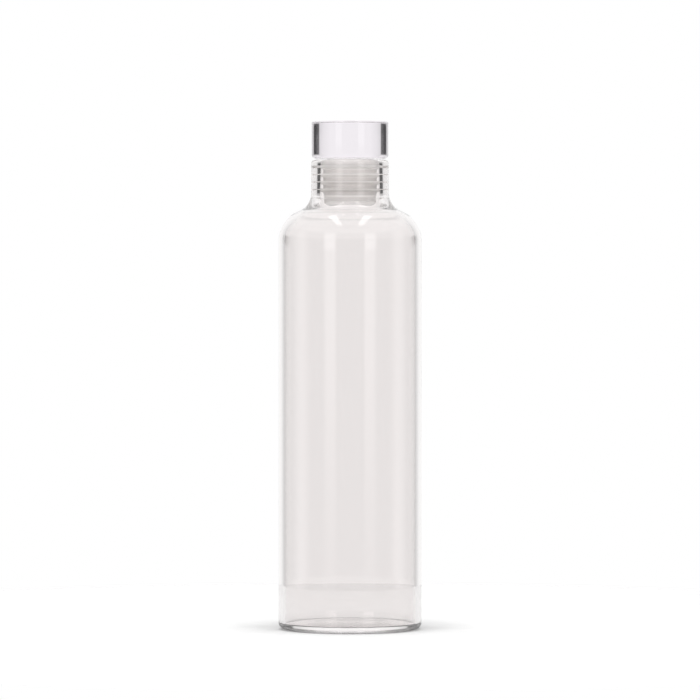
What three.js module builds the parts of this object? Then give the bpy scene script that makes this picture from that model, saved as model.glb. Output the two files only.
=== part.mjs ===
// A clear glass water bottle, closed by a solid glass stopper that wears a ribbed silicone sleeve.
// Millimetres, +Z up, origin at the centre of the base. Every piece is turned about +Z.
import * as THREE from 'three';

// ---- Driving dimensions --------------------------------------------------------------------

const SEGMENTS = 48; // flat facets round every turned piece
const ARC_STEP = 18; // most degrees between two points on a round stretch
const CLEARANCE = 0.3; // gap kept between pieces that touch on the real object

// Bottle: one piece of glass.
const BODY_RADIUS = 33;
const BODY_WALL = 2.9;
const FLOOR_THICKNESS = 2.65;
const HEEL_RADIUS = 2.9;
const INNER_HEEL_RADIUS = 0.5;
const FOOT_INNER_RADIUS = 24.9; // the flat ring that it stands on runs from here to the heel
const PUNT_RISE = 1.3; // the floor is domed up inside the ring: under it, and inside the bottle
const FLOOR_RISE = 1.4;
const DOME_STEPS = 3;
const SHOULDER_START = 178.8; // height at which the straight wall ends
const SHOULDER_RADIUS = 14.7;
const NECK_RADIUS = 17.95;
const NECK_ROOT_RADIUS = 9; // the hollow curve between shoulder and neck
const BOTTLE_HEIGHT = 216;
const LIP_OUTER_RADIUS = 1.6;
const LIP_INNER_RADIUS = 0.8;
const MOUTH_RADIUS = 13.6;
const BORE_END_RADIUS = 14.1; // the bore opens slightly on its way down
const BORE_END = 198.1;
const THROAT_RADIUS = 0.6; // the rounded edge under the bore
const THROAT_TURN = 23.5; // degrees that it turns through
const CEILING_TURN = 35.6; // degrees of round ceiling, at the same centre as the shoulder
const SLOPE_REACH = 8; // the slope between the two: its curve's handle at the throat, then the ceiling
const SLOPE_PULL = 8;
const SLOPE_STEPS = 5;

// Stopper: a solid glass head and the stem under it.
const HEAD_UNDERSIDE = 216.5;
const HEAD_TOP = 233.6;
const HEAD_RADIUS = 17.7;
const HEAD_TOP_EDGE = 0.6;
const HEAD_BOTTOM_EDGE = 2;
const STEM_RADIUS = 10;
const STEM_END = 199.3;
const STEM_EDGE = 0.8;

// Sleeve: a silicone cup over the stem, with a collar and fins that grip the bore.
const SLEEVE_BOTTOM = 196.4;
const SLEEVE_FLOOR = 198.3;
const SLEEVE_CORE_RADIUS = 12.3;
const SLEEVE_TIP_RADIUS = 12;
const TAPER_TOP = 200.7;
const FIN_RADIUS = MOUTH_RADIUS - CLEARANCE;
const FIN_LEVELS = [202.3, 205.75, 209.2]; // heights of the three fins' middles
const FIN_ROOT_HALF = 0.85;
const FIN_TIP_HALF = 0.45;
const COLLAR_BOTTOM = 212.2;
const COLLAR_LEVEL = 212.75; // where the collar is widest
const COLLAR_EDGE = 3.3; // radius of its rounded top edge
const COLLAR_TURN = 75; // degrees that the edge turns through
const COLLAR_RIM = 0.4; // width of the flat ring left at the top

// ---- Outlines: points [radius, height] -------------------------------------------------------

// A round stretch about a centre, from one angle to another, in degrees from straight out.
function arc(centreRadius, centreHeight, radius, from, to) {
  const steps = Math.ceil(Math.abs(to - from) / ARC_STEP);
  return Array.from({ length: steps + 1 }, (_, i) => {
    const angle = THREE.MathUtils.degToRad(from + ((to - from) * i) / steps);
    return [centreRadius + radius * Math.cos(angle), centreHeight + radius * Math.sin(angle)];
  });
}

// The point a distance away, at an angle in degrees from straight out.
function along([radius, height], angle, distance) {
  const turn = THREE.MathUtils.degToRad(angle);
  return [radius + distance * Math.cos(turn), height + distance * Math.sin(turn)];
}

// A shallow dome from its rim to the axis, without the rim itself.
function dome(rim, height, rise) {
  return Array.from({ length: DOME_STEPS }, (_, i) => {
    const share = 1 - (i + 1) / DOME_STEPS;
    return [rim * share, height + rise * (1 - share * share)];
  });
}

function bottleOutline() {
  const shoulderCentre = BODY_RADIUS - SHOULDER_RADIUS;
  const rootCentre = NECK_RADIUS + NECK_ROOT_RADIUS;
  // The shoulder's arc and the root's arc touch, so their centres are both radii apart.
  const rootAngle = Math.acos((rootCentre - shoulderCentre) / (SHOULDER_RADIUS + NECK_ROOT_RADIUS));
  const rootHeight = SHOULDER_START + (SHOULDER_RADIUS + NECK_ROOT_RADIUS) * Math.sin(rootAngle);
  const rootTurn = THREE.MathUtils.radToDeg(rootAngle);

  // Inside, a smooth slope joins the rounded edge of the bore to a ceiling that follows the shoulder.
  const inside = BODY_RADIUS - BODY_WALL;
  const throat = arc(BORE_END_RADIUS + THROAT_RADIUS, BORE_END, THROAT_RADIUS, 180, 180 + THROAT_TURN);
  const ceiling = arc(shoulderCentre, SHOULDER_START, SHOULDER_RADIUS - BODY_WALL, CEILING_TURN, 0);
  const slopeStart = throat.at(-1);
  const slope = new THREE.CubicBezierCurve(
    new THREE.Vector2(...slopeStart),
    new THREE.Vector2(...along(slopeStart, THROAT_TURN - 90, SLOPE_REACH)),
    new THREE.Vector2(...along(ceiling[0], CEILING_TURN + 90, SLOPE_PULL)),
    new THREE.Vector2(...ceiling[0]),
  ).getPoints(SLOPE_STEPS).slice(1, -1).map((point) => point.toArray());

  const innerHeel = inside - INNER_HEEL_RADIUS;
  return [
    ...dome(FOOT_INNER_RADIUS, 0, PUNT_RISE).reverse(),
    [FOOT_INNER_RADIUS, 0],
    ...arc(BODY_RADIUS - HEEL_RADIUS, HEEL_RADIUS, HEEL_RADIUS, -90, 0),
    ...arc(shoulderCentre, SHOULDER_START, SHOULDER_RADIUS, 0, rootTurn),
    ...arc(rootCentre, rootHeight, NECK_ROOT_RADIUS, 180 + rootTurn, 180).slice(1),
    ...arc(NECK_RADIUS - LIP_OUTER_RADIUS, BOTTLE_HEIGHT - LIP_OUTER_RADIUS, LIP_OUTER_RADIUS, 0, 90),
    ...arc(MOUTH_RADIUS + LIP_INNER_RADIUS, BOTTLE_HEIGHT - LIP_INNER_RADIUS, LIP_INNER_RADIUS, 90, 180),
    ...throat,
    ...slope,
    ...ceiling,
    ...arc(innerHeel, FLOOR_THICKNESS + INNER_HEEL_RADIUS, INNER_HEEL_RADIUS, 0, -90),
    ...dome(innerHeel, FLOOR_THICKNESS, FLOOR_RISE),
  ];
}

function stopperOutline() {
  return [
    [0, STEM_END],
    ...arc(STEM_RADIUS - STEM_EDGE, STEM_END + STEM_EDGE, STEM_EDGE, -90, 0),
    [STEM_RADIUS, HEAD_UNDERSIDE],
    ...arc(HEAD_RADIUS - HEAD_BOTTOM_EDGE, HEAD_UNDERSIDE + HEAD_BOTTOM_EDGE, HEAD_BOTTOM_EDGE, -90, 0),
    ...arc(HEAD_RADIUS - HEAD_TOP_EDGE, HEAD_TOP - HEAD_TOP_EDGE, HEAD_TOP_EDGE, 0, 90),
    [0, HEAD_TOP],
  ];
}

function sleeveOutline() {
  const top = HEAD_UNDERSIDE - CLEARANCE;
  const inside = STEM_RADIUS + CLEARANCE;
  const fins = FIN_LEVELS.flatMap((level) => [
    [SLEEVE_CORE_RADIUS, level - FIN_ROOT_HALF],
    [FIN_RADIUS, level - FIN_TIP_HALF],
    [FIN_RADIUS, level + FIN_TIP_HALF],
    [SLEEVE_CORE_RADIUS, level + FIN_ROOT_HALF],
  ]);
  return [
    [0, SLEEVE_BOTTOM],
    [SLEEVE_TIP_RADIUS, SLEEVE_BOTTOM],
    [SLEEVE_CORE_RADIUS, TAPER_TOP],
    ...fins,
    [SLEEVE_CORE_RADIUS, COLLAR_BOTTOM - (FIN_ROOT_HALF - FIN_TIP_HALF)],
    [FIN_RADIUS, COLLAR_BOTTOM],
    ...arc(FIN_RADIUS - COLLAR_EDGE, COLLAR_LEVEL, COLLAR_EDGE, 0, COLLAR_TURN),
    [inside + COLLAR_RIM, top],
    [inside, top],
    [inside, SLEEVE_FLOOR],
    [0, SLEEVE_FLOOR],
  ];
}

// ---- Pieces --------------------------------------------------------------------------------

function material(color, roughness, opacity) {
  return new THREE.MeshStandardMaterial({
    color, roughness, metalness: 0, transparent: opacity < 1, opacity,
  });
}

function turned(name, outline, finish) {
  const points = outline.map(([radius, height]) => new THREE.Vector2(radius, height));
  const geometry = new THREE.LatheGeometry(points, SEGMENTS);
  geometry.rotateX(Math.PI / 2); // the lathe turns about +Y; the object stands along +Z
  const mesh = new THREE.Mesh(geometry, finish);
  mesh.name = name;
  return mesh;
}

const clearGlass = material(0xf4f6f5, 0.03, 0.3);
const milkySilicone = material(0xd6d5d2, 0.45, 0.85);

const bottle = new THREE.Group();
bottle.add(turned('bottle_glass', bottleOutline(), clearGlass));

const stopper = new THREE.Group();
stopper.add(turned('stopper_glass', stopperOutline(), clearGlass));
stopper.add(turned('stopper_sleeve', sleeveOutline(), milkySilicone));

const group = new THREE.Group();
group.add(bottle, stopper);

export default group;
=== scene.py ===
"""Looks of the clear glass water bottle: smooth glass, a ribbed silicone sleeve and a white studio."""
import math

import bmesh
import bpy
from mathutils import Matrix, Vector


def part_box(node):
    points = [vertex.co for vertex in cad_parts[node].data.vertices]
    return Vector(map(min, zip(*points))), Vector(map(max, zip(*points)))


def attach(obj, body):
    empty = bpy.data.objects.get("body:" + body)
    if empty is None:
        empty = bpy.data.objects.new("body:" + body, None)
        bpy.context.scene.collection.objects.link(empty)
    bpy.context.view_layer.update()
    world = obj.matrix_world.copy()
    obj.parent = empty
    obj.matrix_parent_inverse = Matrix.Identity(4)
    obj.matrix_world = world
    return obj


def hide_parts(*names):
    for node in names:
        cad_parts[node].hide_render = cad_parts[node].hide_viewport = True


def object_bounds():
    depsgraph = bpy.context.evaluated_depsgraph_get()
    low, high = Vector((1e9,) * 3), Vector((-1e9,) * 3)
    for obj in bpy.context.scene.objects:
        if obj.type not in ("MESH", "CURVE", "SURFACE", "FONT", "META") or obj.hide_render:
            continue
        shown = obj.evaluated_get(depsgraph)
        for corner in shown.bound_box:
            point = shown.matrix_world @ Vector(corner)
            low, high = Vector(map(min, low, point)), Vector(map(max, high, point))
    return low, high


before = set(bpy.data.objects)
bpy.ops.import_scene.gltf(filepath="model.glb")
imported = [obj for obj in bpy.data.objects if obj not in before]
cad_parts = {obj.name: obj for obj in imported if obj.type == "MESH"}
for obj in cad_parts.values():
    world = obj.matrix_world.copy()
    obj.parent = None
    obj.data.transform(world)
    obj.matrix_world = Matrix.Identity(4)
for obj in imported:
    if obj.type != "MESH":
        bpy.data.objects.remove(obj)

CAD_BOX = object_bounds()
MM = 0.001

# ---- Sizes, in millimetres ---------------------------------------------------------------

BOTTLE = [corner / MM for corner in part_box("bottle_glass")]
STOPPER = [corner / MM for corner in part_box("stopper_glass")]
SLEEVE = [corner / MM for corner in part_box("stopper_sleeve")]

SEGMENTS = 256  # steps round every turned piece
ARC_STEP = 3.0  # most degrees between points on a round stretch
DOME_STEPS = 12
SLOPE_STEPS = 40
CLEARANCE = 0.3  # gap that the CAD keeps between pieces that touch

# Bottle.
BODY_RADIUS = BOTTLE[1].x
BOTTLE_HEIGHT = BOTTLE[1].z
BODY_WALL = 2.9
FLOOR_THICKNESS = 2.65
HEEL_RADIUS = 2.9
INNER_HEEL_RADIUS = 0.5
FOOT_INNER_RADIUS = 24.9  # the ring that it stands on runs from here to the heel
PUNT_RISE = 1.3  # the floor is domed up inside the ring: under it, and inside the bottle
FLOOR_RISE = 1.4
SHOULDER_START = 178.8
SHOULDER_RADIUS = 14.7
NECK_RADIUS = 17.95
NECK_ROOT_RADIUS = 9.0
LIP_OUTER_RADIUS = 1.6
LIP_INNER_RADIUS = 0.8
MOUTH_RADIUS = 13.6
BORE_END_RADIUS = 14.1
BORE_END = 198.1
THROAT_RADIUS = 0.6  # the rounded edge under the bore
THROAT_TURN = 23.5  # degrees that it turns through
CEILING_TURN = 35.6  # degrees of round ceiling, at the same centre as the shoulder
SLOPE_REACH = 8.0  # the slope between the two: its curve's handle at the throat, then at the ceiling
SLOPE_PULL = 8.0

# Stopper glass.
HEAD_RADIUS = STOPPER[1].x
HEAD_TOP = STOPPER[1].z
HEAD_UNDERSIDE = SLEEVE[1].z + CLEARANCE
HEAD_TOP_EDGE = 0.6
HEAD_BOTTOM_EDGE = 2.0
STEM_RADIUS = 10.0
STEM_END = STOPPER[0].z
STEM_EDGE = 0.8
STEM_ROOT = 0.5  # radius of the hollow edge between stem and head

# Sleeve.
SLEEVE_BOTTOM = SLEEVE[0].z
SLEEVE_FLOOR = 198.3
SLEEVE_FIT = 0.05  # air between the sleeve and the stopper's glass
CORE_RADIUS = 12.3
TIP_RADIUS = 12.0
TIP_EDGE = 0.7
TAPER_TOP = (12.15, 200.1)  # radius and height at the end of the slight taper, under the lowest fin
CUP_EDGE = 0.8
RIM_EDGE = 0.3
FIN_LEVELS = (202.3, 205.75, 209.2)
FIN_TIP_HALF = 0.12
FIN_EDGE = 0.25
FIN_LIFT = 0.5  # how far the pressed tips bend up over their roots
FIN_SQUEEZE = 0.012  # how far a pressed fin sinks into the bore's surface
VALLEY_RADIUS = 1.0  # of the hollows between the fins
COLLAR_BOTTOM = 212.2
COLLAR_LEVEL = 212.75  # where the collar is widest
COLLAR_EDGE = 3.3  # radius of its rounded top edge
COLLAR_TURN = 84  # degrees that the edge turns through
COLLAR_RIM = 0.4  # width left at the top, with its rounded inner edge


# ---- Outlines: points (radius, height) ---------------------------------------------------

def arc(centre, radius, start, end):
    """A round stretch about centre, from one angle to another, in degrees from straight out."""
    steps = max(2, math.ceil(abs(end - start) / ARC_STEP))
    points = []
    for i in range(steps + 1):
        angle = math.radians(start + (end - start) * i / steps)
        points.append((centre[0] + radius * math.cos(angle), centre[1] + radius * math.sin(angle)))
    return points


def straight(start, end, pieces):
    """Evenly spaced points between two points, both left out."""
    return [
        (start[0] + (end[0] - start[0]) * i / pieces, start[1] + (end[1] - start[1]) * i / pieces)
        for i in range(1, pieces)
    ]


def along(point, angle, distance):
    """A point a distance away, at an angle in degrees from straight out."""
    turn = math.radians(angle)
    return (point[0] + distance * math.cos(turn), point[1] + distance * math.sin(turn))


def curve(start, start_pull, end_pull, end):
    """A smooth curve that leaves start towards start_pull and reaches end from end_pull."""
    ends = (start, start_pull, end_pull, end)
    points = []
    for i in range(SLOPE_STEPS + 1):
        t = i / SLOPE_STEPS
        shares = ((1 - t) ** 3, 3 * t * (1 - t) ** 2, 3 * t ** 2 * (1 - t), t ** 3)
        points.append(tuple(
            sum(share * point[axis] for share, point in zip(shares, ends)) for axis in (0, 1)
        ))
    return points


def dome(rim, height, rise):
    """A shallow dome from the axis outwards, without the rim itself."""
    shares = [i / DOME_STEPS for i in range(DOME_STEPS)]
    return [(rim * share, height + rise * (1 - share ** 2)) for share in shares]


def bore_radius(height):
    """The bore opens slightly on its way down."""
    share = (BOTTLE_HEIGHT - height) / (BOTTLE_HEIGHT - BORE_END)
    return MOUTH_RADIUS + (BORE_END_RADIUS - MOUTH_RADIUS) * share


def bottle_outline():
    shoulder = (BODY_RADIUS - SHOULDER_RADIUS, SHOULDER_START)
    root_centre = NECK_RADIUS + NECK_ROOT_RADIUS
    reach = SHOULDER_RADIUS + NECK_ROOT_RADIUS
    root_angle = math.acos((root_centre - shoulder[0]) / reach)
    root = (root_centre, SHOULDER_START + reach * math.sin(root_angle))
    root_turn = math.degrees(root_angle)

    inside = BODY_RADIUS - BODY_WALL
    throat = arc((BORE_END_RADIUS + THROAT_RADIUS, BORE_END), THROAT_RADIUS, 180, 180 + THROAT_TURN)
    ceiling = arc(shoulder, SHOULDER_RADIUS - BODY_WALL, CEILING_TURN, 0)
    slope = curve(
        throat[-1],
        along(throat[-1], THROAT_TURN - 90, SLOPE_REACH),
        along(ceiling[0], CEILING_TURN + 90, SLOPE_PULL),
        ceiling[0],
    )

    heel = (BODY_RADIUS - HEEL_RADIUS, HEEL_RADIUS)
    lip_out = (NECK_RADIUS - LIP_OUTER_RADIUS, BOTTLE_HEIGHT - LIP_OUTER_RADIUS)
    lip_in = (MOUTH_RADIUS + LIP_INNER_RADIUS, BOTTLE_HEIGHT - LIP_INNER_RADIUS)
    inner_heel = (inside - INNER_HEEL_RADIUS, FLOOR_THICKNESS + INNER_HEEL_RADIUS)
    return [
        *dome(FOOT_INNER_RADIUS, 0.0, PUNT_RISE),
        (FOOT_INNER_RADIUS, 0.0),
        *arc(heel, HEEL_RADIUS, -90, 0),
        *straight((BODY_RADIUS, HEEL_RADIUS), (BODY_RADIUS, SHOULDER_START), 24),
        *arc(shoulder, SHOULDER_RADIUS, 0, root_turn),
        *arc(root, NECK_ROOT_RADIUS, 180 + root_turn, 180)[1:],
        *arc(lip_out, LIP_OUTER_RADIUS, 0, 90),
        *arc(lip_in, LIP_INNER_RADIUS, 90, 180),
        *straight((MOUTH_RADIUS, lip_in[1]), (BORE_END_RADIUS, BORE_END), 6),
        *throat,
        *slope[1:-1],
        *ceiling,
        *straight((inside, SHOULDER_START), (inside, inner_heel[1]), 24),
        *arc(inner_heel, INNER_HEEL_RADIUS, 0, -90),
        *reversed(dome(inner_heel[0], FLOOR_THICKNESS, FLOOR_RISE)),
    ]


def stopper_outline():
    stem = (STEM_RADIUS - STEM_EDGE, STEM_END + STEM_EDGE)
    under = (HEAD_RADIUS - HEAD_BOTTOM_EDGE, HEAD_UNDERSIDE + HEAD_BOTTOM_EDGE)
    top = (HEAD_RADIUS - HEAD_TOP_EDGE, HEAD_TOP - HEAD_TOP_EDGE)
    root = (STEM_RADIUS + STEM_ROOT, HEAD_UNDERSIDE - STEM_ROOT)
    return [
        (0.0, STEM_END),
        *straight((0, STEM_END), (stem[0], STEM_END), 5),
        *arc(stem, STEM_EDGE, -90, 0),
        *arc(root, STEM_ROOT, 180, 90),
        *arc(under, HEAD_BOTTOM_EDGE, -90, 0),
        *arc(top, HEAD_TOP_EDGE, 0, 90),
        *straight((top[0], HEAD_TOP), (0, HEAD_TOP), 8),
        (0.0, HEAD_TOP),
    ]


def fin(level):
    """A fin pressed by the bore: a hollow root, a flattened tip and a hollow root again."""
    edge = bore_radius(level) + FIN_SQUEEZE - FIN_EDGE
    root = level - FIN_LIFT
    reach = FIN_TIP_HALF + FIN_EDGE + VALLEY_RADIUS
    lower = (CORE_RADIUS + VALLEY_RADIUS, root - reach)
    upper = (CORE_RADIUS + VALLEY_RADIUS, root + reach)
    return [
        *arc(lower, VALLEY_RADIUS, 180, 70),
        *arc((edge, level - FIN_TIP_HALF), FIN_EDGE, -50, 0),
        *arc((edge, level + FIN_TIP_HALF), FIN_EDGE, 0, 110),
        *arc(upper, VALLEY_RADIUS, -90, -180),
    ]


def sleeve_outline():
    top = HEAD_UNDERSIDE - SLEEVE_FIT
    inside = STEM_RADIUS + SLEEVE_FIT
    fins = [point for level in FIN_LEVELS for point in fin(level)]
    collar = bore_radius(COLLAR_LEVEL) + FIN_SQUEEZE
    valley = (CORE_RADIUS + VALLEY_RADIUS, COLLAR_BOTTOM - FIN_EDGE - VALLEY_RADIUS)
    tip = (TIP_RADIUS - TIP_EDGE, SLEEVE_BOTTOM + TIP_EDGE)
    cup = (inside - CUP_EDGE, SLEEVE_FLOOR + CUP_EDGE)
    return [
        (0.0, SLEEVE_BOTTOM),
        *straight((0, SLEEVE_BOTTOM), (tip[0], SLEEVE_BOTTOM), 4),
        *arc(tip, TIP_EDGE, -90, -12),
        TAPER_TOP,
        *fins,
        *arc(valley, VALLEY_RADIUS, 180, 90),
        *arc((collar - FIN_EDGE, COLLAR_BOTTOM), FIN_EDGE, -90, 0),
        *arc((collar - COLLAR_EDGE, COLLAR_LEVEL), COLLAR_EDGE, 0, COLLAR_TURN),
        (inside + COLLAR_RIM, top),
        *arc((inside + RIM_EDGE, top - RIM_EDGE), RIM_EDGE, 90, 180),
        *arc(cup, CUP_EDGE, 0, -90),
        *straight((cup[0], SLEEVE_FLOOR), (0, SLEEVE_FLOOR), 4),
        (0.0, SLEEVE_FLOOR),
    ]


# ---- Mesh --------------------------------------------------------------------------------

ON_AXIS = 1e-6  # a point this near the axis is a single point, not a ring


def add_object(name, mesh):
    """Put a finished mesh into the scene as an object."""
    data = bpy.data.meshes.new(name)
    mesh.to_mesh(data)
    mesh.free()
    piece = bpy.data.objects.new(name, data)
    bpy.context.collection.objects.link(piece)
    return piece


def turned(name, outline):
    """A closed body of revolution about +Z; the outline starts and ends on the axis."""
    mesh = bmesh.new()
    rings = []
    for radius, height in outline:
        if radius < ON_AXIS:
            rings.append([mesh.verts.new((0, 0, height * MM))])
            continue
        rings.append([
            mesh.verts.new((
                radius * MM * math.cos(2 * math.pi * i / SEGMENTS),
                radius * MM * math.sin(2 * math.pi * i / SEGMENTS),
                height * MM,
            ))
            for i in range(SEGMENTS)
        ])
    for low, high in zip(rings, rings[1:]):
        for i in range(SEGMENTS):
            j = (i + 1) % SEGMENTS
            if len(low) == 1:
                face = (low[0], high[j], high[i])
            elif len(high) == 1:
                face = (low[i], low[j], high[0])
            else:
                face = (low[i], low[j], high[j], high[i])
            mesh.faces.new(face).smooth = True
    bmesh.ops.recalc_face_normals(mesh, faces=mesh.faces)
    return add_object(name, mesh)


# ---- Materials ---------------------------------------------------------------------------

# Lengths are in metres. A pair of lengths is where a smooth change starts and ends.
SHADOW_CLEAR = 0.96  # what one surface of glass lets through to a shadow, seen squarely
SHADOW_EDGES = (0.005, 0.02)  # heights over which glass seen edge on starts to darken its shadow
GLASS_IOR = 1.47
PAINTED_FOOT_SHADE_SPAN = (0.0002, 0.0016)  # heights over which the painted shade that darkens the foot's rim ends
SILICONE_IOR = 1.41
PAINTED_TOP_LIGHT_SPAN = (0.198, 0.2145)  # heights over which painted light makes the silicone a little lighter towards the top
PAINTED_TOP_LIGHT = 1.05
PAINTED_BAND_LEVEL = 0.1986  # height of a painted light band near the sleeve's closed end
# The band is painted 1.22 times as light, and the rest of the silicone 0.93 times.
PAINTED_BAND_EDGE = (0.0002, 0.0008)
PAINTED_BAND_LIGHT = 1.22
PAINTED_BAND_REST = 0.93
GLOW_SHARE = 0.35  # share of light from behind in the silicone's look
FLOOR_PALE = (0.525, 0.545)  # darkest and lightest shade in the floor
FLOOR_LIFT = 0.14  # how much lighter the floor is to the camera than to the glass


class Nodes:
    """A short way to add and join the nodes of one material or world."""

    def __init__(self, tree):
        self.tree = tree
        tree.nodes.clear()

    def add(self, kind, **values):
        node = self.tree.nodes.new(kind)
        for key, value in values.items():
            if hasattr(node, key):
                setattr(node, key, value)
            else:
                node.inputs[key.replace("_", " ")].default_value = value
        return node

    def join(self, start, end):
        self.tree.links.new(start, end)

    def math(self, operation, *values, clamp=False):
        node = self.tree.nodes.new("ShaderNodeMath")
        node.operation = operation
        node.use_clamp = clamp
        for socket, value in zip(node.inputs, values):
            if isinstance(value, (int, float)):
                socket.default_value = value
            else:
                self.join(value, socket)
        return node.outputs[0]

    def smooth(self, value, low, high, out_low=0.0, out_high=1.0):
        """A value taken smoothly from one range to another."""
        node = self.add("ShaderNodeMapRange", interpolation_type="SMOOTHSTEP")
        node.inputs["From Min"].default_value = low
        node.inputs["From Max"].default_value = high
        node.inputs["To Min"].default_value = out_low
        node.inputs["To Max"].default_value = out_high
        self.join(value, node.inputs["Value"])
        return node.outputs["Result"]


def new_material(name):
    material = bpy.data.materials.new(name)
    material.use_nodes = True
    return material, Nodes(material.node_tree)


def glass(name, tint, foot=None):
    """Clear glass: faint drawn streaks and ripples, a trace of handling marks, and light shadows.

    foot, if given, is the share of the tint left at the very bottom of the glass, back to full by 1.6
    mm up: painted shade that darkens the foot's rim.
    """
    material, n = new_material(name)
    place = n.add("ShaderNodeTexCoord").outputs["Object"]

    streak_place = n.add("ShaderNodeMapping")
    streak_place.inputs["Scale"].default_value = (260, 260, 6)
    n.join(place, streak_place.inputs["Vector"])
    streaks = n.add("ShaderNodeTexNoise", Scale=1.0, Detail=2.0)
    n.join(streak_place.outputs["Vector"], streaks.inputs["Vector"])

    ripple_place = n.add("ShaderNodeMapping")
    ripple_place.inputs["Scale"].default_value = (40, 40, 22)
    n.join(place, ripple_place.inputs["Vector"])
    ripples = n.add("ShaderNodeTexNoise", Scale=1.0, Detail=1.0)
    n.join(ripple_place.outputs["Vector"], ripples.inputs["Vector"])

    height = n.math("ADD", n.math("MULTIPLY", streaks.outputs[0], 0.25), ripples.outputs[0])
    bump = n.add("ShaderNodeBump", Strength=0.35, Distance=0.00004)
    n.join(height, bump.inputs["Height"])

    marks = n.add("ShaderNodeTexNoise", Scale=70.0, Detail=4.0)
    n.join(place, marks.inputs["Vector"])
    roughness = n.smooth(marks.outputs[0], 0.5, 0.8, 0.0, 0.035)

    shader = n.add("ShaderNodeBsdfPrincipled")
    shader.inputs["Base Color"].default_value = (*tint, 1)
    shader.inputs["Transmission Weight"].default_value = 1.0
    shader.inputs["IOR"].default_value = GLASS_IOR
    n.join(roughness, shader.inputs["Roughness"])
    n.join(bump.outputs["Normal"], shader.inputs["Normal"])

    up = n.add("ShaderNodeSeparateXYZ")
    n.join(place, up.inputs[0])
    # Painted shade: the tint is darkened at the very bottom, to darken the foot's rim.
    if foot is not None:
        painted_foot_shade = n.add("ShaderNodeVectorMath", operation="SCALE")
        painted_foot_shade.inputs[0].default_value = tint
        n.join(n.smooth(up.outputs["Z"], *PAINTED_FOOT_SHADE_SPAN, foot, 1.0), painted_foot_shade.inputs["Scale"])
        n.join(painted_foot_shade.outputs[0], shader.inputs["Base Color"])
    glance = n.math("POWER", n.add("ShaderNodeLayerWeight", Blend=0.5).outputs["Facing"], 4.0)
    glance = n.math("MULTIPLY", glance, n.smooth(up.outputs["Z"], *SHADOW_EDGES))
    through = n.math("MULTIPLY", SHADOW_CLEAR, n.math("SUBTRACT", 1.0, glance))
    see_through = n.add("ShaderNodeBsdfTransparent")
    n.join(through, see_through.inputs["Color"])
    mix = n.add("ShaderNodeMixShader")
    n.join(n.add("ShaderNodeLightPath").outputs["Is Shadow Ray"], mix.inputs[0])
    n.join(shader.outputs[0], mix.inputs[1])
    n.join(see_through.outputs[0], mix.inputs[2])
    output = n.add("ShaderNodeOutputMaterial")
    n.join(mix.outputs[0], output.inputs["Surface"])
    return material


def silicone(name):
    """Milky silicone: light from behind glows through it, under a satin skin with a fine grain;
    painted light makes it lighter to the top and in a band near its closed end, and painted shade
    darkens it seen edge-on.
    """
    material, n = new_material(name)
    place = n.add("ShaderNodeTexCoord").outputs["Object"]
    up = n.add("ShaderNodeSeparateXYZ")
    n.join(place, up.inputs[0])
    height = up.outputs["Z"]
    cloud = n.add("ShaderNodeTexNoise", Scale=220.0, Detail=3.0)
    n.join(place, cloud.inputs["Vector"])
    cloudy = n.smooth(cloud.outputs[0], 0.3, 0.7, 0.96, 1.0)
    # Painted light: the silicone is made lighter towards its top.
    painted_light_to_top = n.smooth(height, *PAINTED_TOP_LIGHT_SPAN, 1.0, PAINTED_TOP_LIGHT)
    # Painted light: a light band round the sleeve near its closed end.
    painted_band_off = n.math("ABSOLUTE", n.math("SUBTRACT", height, PAINTED_BAND_LEVEL))
    band = n.smooth(painted_band_off, *PAINTED_BAND_EDGE, PAINTED_BAND_LIGHT, PAINTED_BAND_REST)
    # Painted shade: the silicone is darkened by up to 40 per cent where its surface is seen edge-on.
    glance = n.add("ShaderNodeLayerWeight", Blend=0.5).outputs["Facing"]
    edge = n.math("SUBTRACT", 1.0, n.math("MULTIPLY", glance, 0.4))
    tone_and_painted_light = n.math("MULTIPLY", n.math("MULTIPLY", cloudy, painted_light_to_top), n.math("MULTIPLY", band, edge))
    colour_and_painted_light = n.add("ShaderNodeVectorMath", operation="SCALE")
    colour_and_painted_light.inputs[0].default_value = (0.90, 0.89, 0.882)
    n.join(tone_and_painted_light, colour_and_painted_light.inputs["Scale"])

    grain = n.add("ShaderNodeTexNoise", Scale=2600.0, Detail=2.0)
    n.join(place, grain.inputs["Vector"])
    bump = n.add("ShaderNodeBump", Strength=0.4, Distance=0.00002)
    n.join(grain.outputs[0], bump.inputs["Height"])

    skin = n.add("ShaderNodeBsdfPrincipled")
    skin.inputs["Roughness"].default_value = 0.25
    skin.inputs["IOR"].default_value = SILICONE_IOR
    skin.inputs["Subsurface Weight"].default_value = 1.0
    skin.inputs["Subsurface Radius"].default_value = (1.0, 1.0, 1.0)
    skin.inputs["Subsurface Scale"].default_value = 0.004
    n.join(colour_and_painted_light.outputs[0], skin.inputs["Base Color"])
    n.join(bump.outputs["Normal"], skin.inputs["Normal"])
    glow = n.add("ShaderNodeBsdfTranslucent")
    n.join(colour_and_painted_light.outputs[0], glow.inputs["Color"])
    body = n.add("ShaderNodeMixShader")
    body.inputs[0].default_value = GLOW_SHARE
    n.join(skin.outputs[0], body.inputs[1])
    n.join(glow.outputs[0], body.inputs[2])

    see_through = n.add("ShaderNodeBsdfTransparent")
    see_through.inputs["Color"].default_value = (0.95, 0.94, 0.93, 1)
    mix = n.add("ShaderNodeMixShader")
    n.join(n.add("ShaderNodeLightPath").outputs["Is Shadow Ray"], mix.inputs[0])
    n.join(body.outputs[0], mix.inputs[1])
    n.join(see_through.outputs[0], mix.inputs[2])
    output = n.add("ShaderNodeOutputMaterial")
    n.join(mix.outputs[0], output.inputs["Surface"])
    return material


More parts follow.
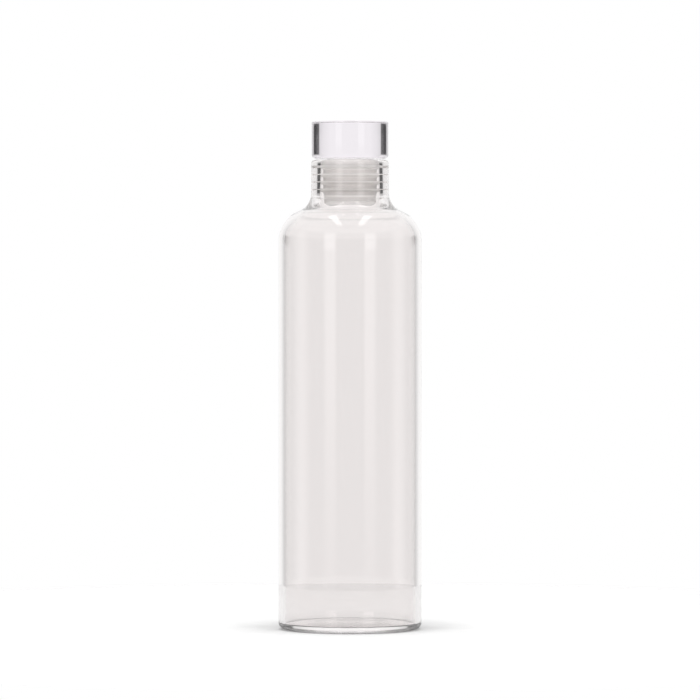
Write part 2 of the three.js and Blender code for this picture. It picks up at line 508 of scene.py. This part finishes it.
def floor_paint():
    """A matt pale floor, a little lighter to the camera than to the glass."""
    material, n = new_material("floor")
    place = n.add("ShaderNodeTexCoord").outputs["Object"]
    fibre = n.add("ShaderNodeTexNoise", Scale=60.0, Detail=3.0)
    n.join(place, fibre.inputs["Vector"])
    shade = n.smooth(fibre.outputs[0], 0.3, 0.7, *FLOOR_PALE)
    seen = n.add("ShaderNodeLightPath").outputs["Is Camera Ray"]
    shade = n.math("MULTIPLY", shade, n.math("ADD", 1.0, n.math("MULTIPLY", seen, FLOOR_LIFT)))
    shader = n.add("ShaderNodeBsdfDiffuse")
    n.join(shade, shader.inputs["Color"])
    output = n.add("ShaderNodeOutputMaterial")
    n.join(shader.outputs[0], output.inputs["Surface"])
    return material


# ---- Pieces ------------------------------------------------------------------------------

bottle = turned("bottle_clear_glass", bottle_outline())
# 0.5: painted shade halves the tint at the foot's rim.
bottle.data.materials.append(glass("bottle_glass_clear", (0.940, 0.918, 0.914), 0.5))
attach(bottle, "bottle")
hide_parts("bottle_glass")

stopper = turned("stopper_clear_glass", stopper_outline())
stopper.data.materials.append(glass("stopper_glass_clear", (0.923, 0.886, 0.923)))
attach(stopper, "stopper")
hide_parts("stopper_glass")

sleeve = turned("stopper_silicone_sleeve", sleeve_outline())
sleeve.data.materials.append(silicone("milky_silicone"))
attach(sleeve, "stopper")
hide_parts("stopper_sleeve")


# ---- Studio ------------------------------------------------------------------------------

FLOOR_RADIUS = 0.32
FLOOR_DROP = 0.0002  # keeps the floor off the foot's own face


def make_floor():
    mesh = bmesh.new()
    bmesh.ops.create_circle(mesh, cap_ends=True, segments=96, radius=FLOOR_RADIUS)
    floor = add_object("floor", mesh)
    floor.location.z = CAD_BOX[0].z - FLOOR_DROP
    floor.data.materials.append(floor_paint())


# The studio's walls: how bright they are, and where they stand in degrees round from straight
# behind or in degrees up. A pair of numbers is where a smooth change starts and ends.
BACKDROP = 1.0
BACKDROP_FALL = (20.0, 41.0)
BACKDROP_EDGE = 0.73
FLAG_START = (38.2, 42.2)
FLAG_END = (57.0, 66.0)
FLAG = 0.065
FLAG_LOW = 0.45  # added to the flags near the horizon and below it
FLAG_LOW_END = (0.8, 1.2)
FLAG_HIGH = 0.7  # added to the flags high up
FLAG_HIGH_START = (6.0, 10.0)
SIDE = 0.55
SIDE_LIT = 0.32  # added to the walls straight to the side
SIDE_LIT_START = (76.0, 87.0)
SIDE_LIT_END = (93.0, 104.0)
FRONT = 0.25
FRONT_START = (92.0, 112.0)
CEILING_START = (18.0, 36.0)
GROUND_END = (-15.0, -7.0)

# The strip lights beside the camera.
STRIP = 0.65
STRIP_MIDDLE = 146.0
STRIP_EDGE = (7.0, 12.0)  # degrees from its middle
STRIP_LOW = 0.2  # share of its brightness at its lower end
STRIP_LOW_END = (-4.5, 0.5)
STRIP_HIGH_END = (22.0, 36.0)
STRIP_HOT = 2.2  # times as bright, all but near the horizon and below it
STRIP_HOT_START = (0.7, 1.5)

# The two bars overhead, placed by how far out and how far back they are for each metre up.
BAR = 2.2
BAR_ACROSS = 0.27
BAR_AHEAD = -0.15
BAR_SIDE = (0.05, 0.09)
BAR_END = (0.35, 0.5)
LEAST_RISE = 0.01  # keeps the bars' sums finite at the horizon


def make_world():
    """A white studio: dark flags beside the backdrop, two tall strips by the camera, two bars above.

    The camera itself sees plain white instead.
    """
    world = bpy.data.worlds.new("studio")
    world.use_nodes = True
    n = Nodes(world.node_tree)
    direction = n.add("ShaderNodeSeparateXYZ")
    n.join(n.add("ShaderNodeTexCoord").outputs["Generated"], direction.inputs[0])
    x, y, z = direction.outputs
    round_about = n.math("ABSOLUTE", n.math("DEGREES", n.math("ARCTAN2", x, y)))
    height = n.math("DEGREES", n.math("ARCSINE", z))

    backdrop = n.smooth(round_about, *BACKDROP_FALL, BACKDROP, BACKDROP_EDGE)
    flag_in = n.smooth(round_about, *FLAG_START, 1.0, FLAG)
    flag_out = n.smooth(round_about, *FLAG_END, 0.0, SIDE)
    front = n.smooth(round_about, *FRONT_START, 1.0, FRONT / SIDE)
    wall = n.math("ADD", n.math("MULTIPLY", backdrop, flag_in), n.math("MULTIPLY", flag_out, front))

    past_start = n.smooth(round_about, *FLAG_START)
    before_end = n.smooth(round_about, *FLAG_END, 1.0, 0.0)
    low_fill = n.smooth(height, *FLAG_LOW_END, FLAG_LOW, 0.0)
    high_fill = n.smooth(height, *FLAG_HIGH_START, 0.0, FLAG_HIGH)
    beside = n.math("MULTIPLY", past_start, before_end)
    fill = n.math("MULTIPLY", beside, n.math("ADD", low_fill, high_fill))
    lit_from = n.smooth(round_about, *SIDE_LIT_START)
    lit_to = n.smooth(round_about, *SIDE_LIT_END, SIDE_LIT, 0.0)
    wall = n.math("ADD", n.math("ADD", wall, fill), n.math("MULTIPLY", lit_from, lit_to))

    strip_off = n.math("ABSOLUTE", n.math("SUBTRACT", round_about, STRIP_MIDDLE))
    strip = n.smooth(strip_off, *STRIP_EDGE, STRIP, 0.0)
    low_end = n.smooth(height, *STRIP_LOW_END, STRIP_LOW, 1.0)
    high_end = n.smooth(height, *STRIP_HIGH_END, 1.0, 0.0)
    hot = n.smooth(height, *STRIP_HOT_START, 1.0, STRIP_HOT)
    strip = n.math("MULTIPLY", n.math("MULTIPLY", strip, hot), n.math("MULTIPLY", low_end, high_end))
    wall = n.math("ADD", wall, strip)

    ceiling = n.smooth(height, *CEILING_START)
    ground = n.smooth(height, *GROUND_END, 1.0, 0.0)
    white = n.math("ADD", ceiling, ground)
    total = n.math("ADD", n.math("MULTIPLY", wall, n.math("SUBTRACT", 1.0, white)),
                   n.math("MULTIPLY", white, BACKDROP))

    rise = n.math("MAXIMUM", z, LEAST_RISE)
    across = n.math("DIVIDE", n.math("ABSOLUTE", x), rise)
    ahead = n.math("DIVIDE", y, rise)
    bar_off = n.math("ABSOLUTE", n.math("SUBTRACT", across, BAR_ACROSS))
    bar_along = n.math("ABSOLUTE", n.math("SUBTRACT", ahead, BAR_AHEAD))
    bar = n.smooth(bar_off, *BAR_SIDE, BAR, 0.0)
    bar_end = n.smooth(bar_along, *BAR_END, 1.0, 0.0)
    total = n.math("ADD", total, n.math("MULTIPLY", bar, bar_end))

    seen = n.add("ShaderNodeLightPath").outputs["Is Camera Ray"]
    strength = n.math("ADD", n.math("MULTIPLY", total, n.math("SUBTRACT", 1.0, seen)), seen)
    back = n.add("ShaderNodeBackground")
    back.inputs["Color"].default_value = (1, 1, 1, 1)
    n.join(strength, back.inputs["Strength"])
    output = n.add("ShaderNodeOutputWorld")
    n.join(back.outputs[0], output.inputs["Surface"])
    bpy.context.scene.world = world


def make_light():
    """The soft light overhead, left out of what the camera, reflections and refractions see."""
    data = bpy.data.lights.new("overhead", "AREA")
    data.shape = "DISK"
    data.size = 0.3
    data.energy = 10.5
    light = bpy.data.objects.new("overhead", data)
    light.location = (0, -0.1, 1.2)
    light.rotation_euler = (-light.location).to_track_quat("-Z", "Y").to_euler()
    light.visible_camera = False
    light.visible_transmission = False
    light.visible_glossy = False
    bpy.context.collection.objects.link(light)


CAMERA_DISTANCE = 2.07
CAMERA_HEIGHT = 0.157
CAMERA_DIP = 0.789  # degrees that it looks down


def make_camera():
    data = bpy.data.cameras.new("camera")
    data.lens = 231.0
    data.sensor_width = 36.0
    camera = bpy.data.objects.new("camera", data)
    camera.location = (0, -CAMERA_DISTANCE, CAMERA_HEIGHT)
    camera.rotation_euler = (math.radians(90 - CAMERA_DIP), 0, 0)
    bpy.context.collection.objects.link(camera)
    bpy.context.scene.camera = camera


make_floor()
make_world()
make_light()
make_camera()

BOUNCES = 64  # light runs a long way inside the neck's wall

scene = bpy.context.scene
scene.view_settings.view_transform = "Standard"
scene.cycles.max_bounces = BOUNCES
scene.cycles.transmission_bounces = BOUNCES
scene.cycles.transparent_max_bounces = BOUNCES
scene.cycles.glossy_bounces = BOUNCES
scene.cycles.sample_clamp_indirect = 4.0
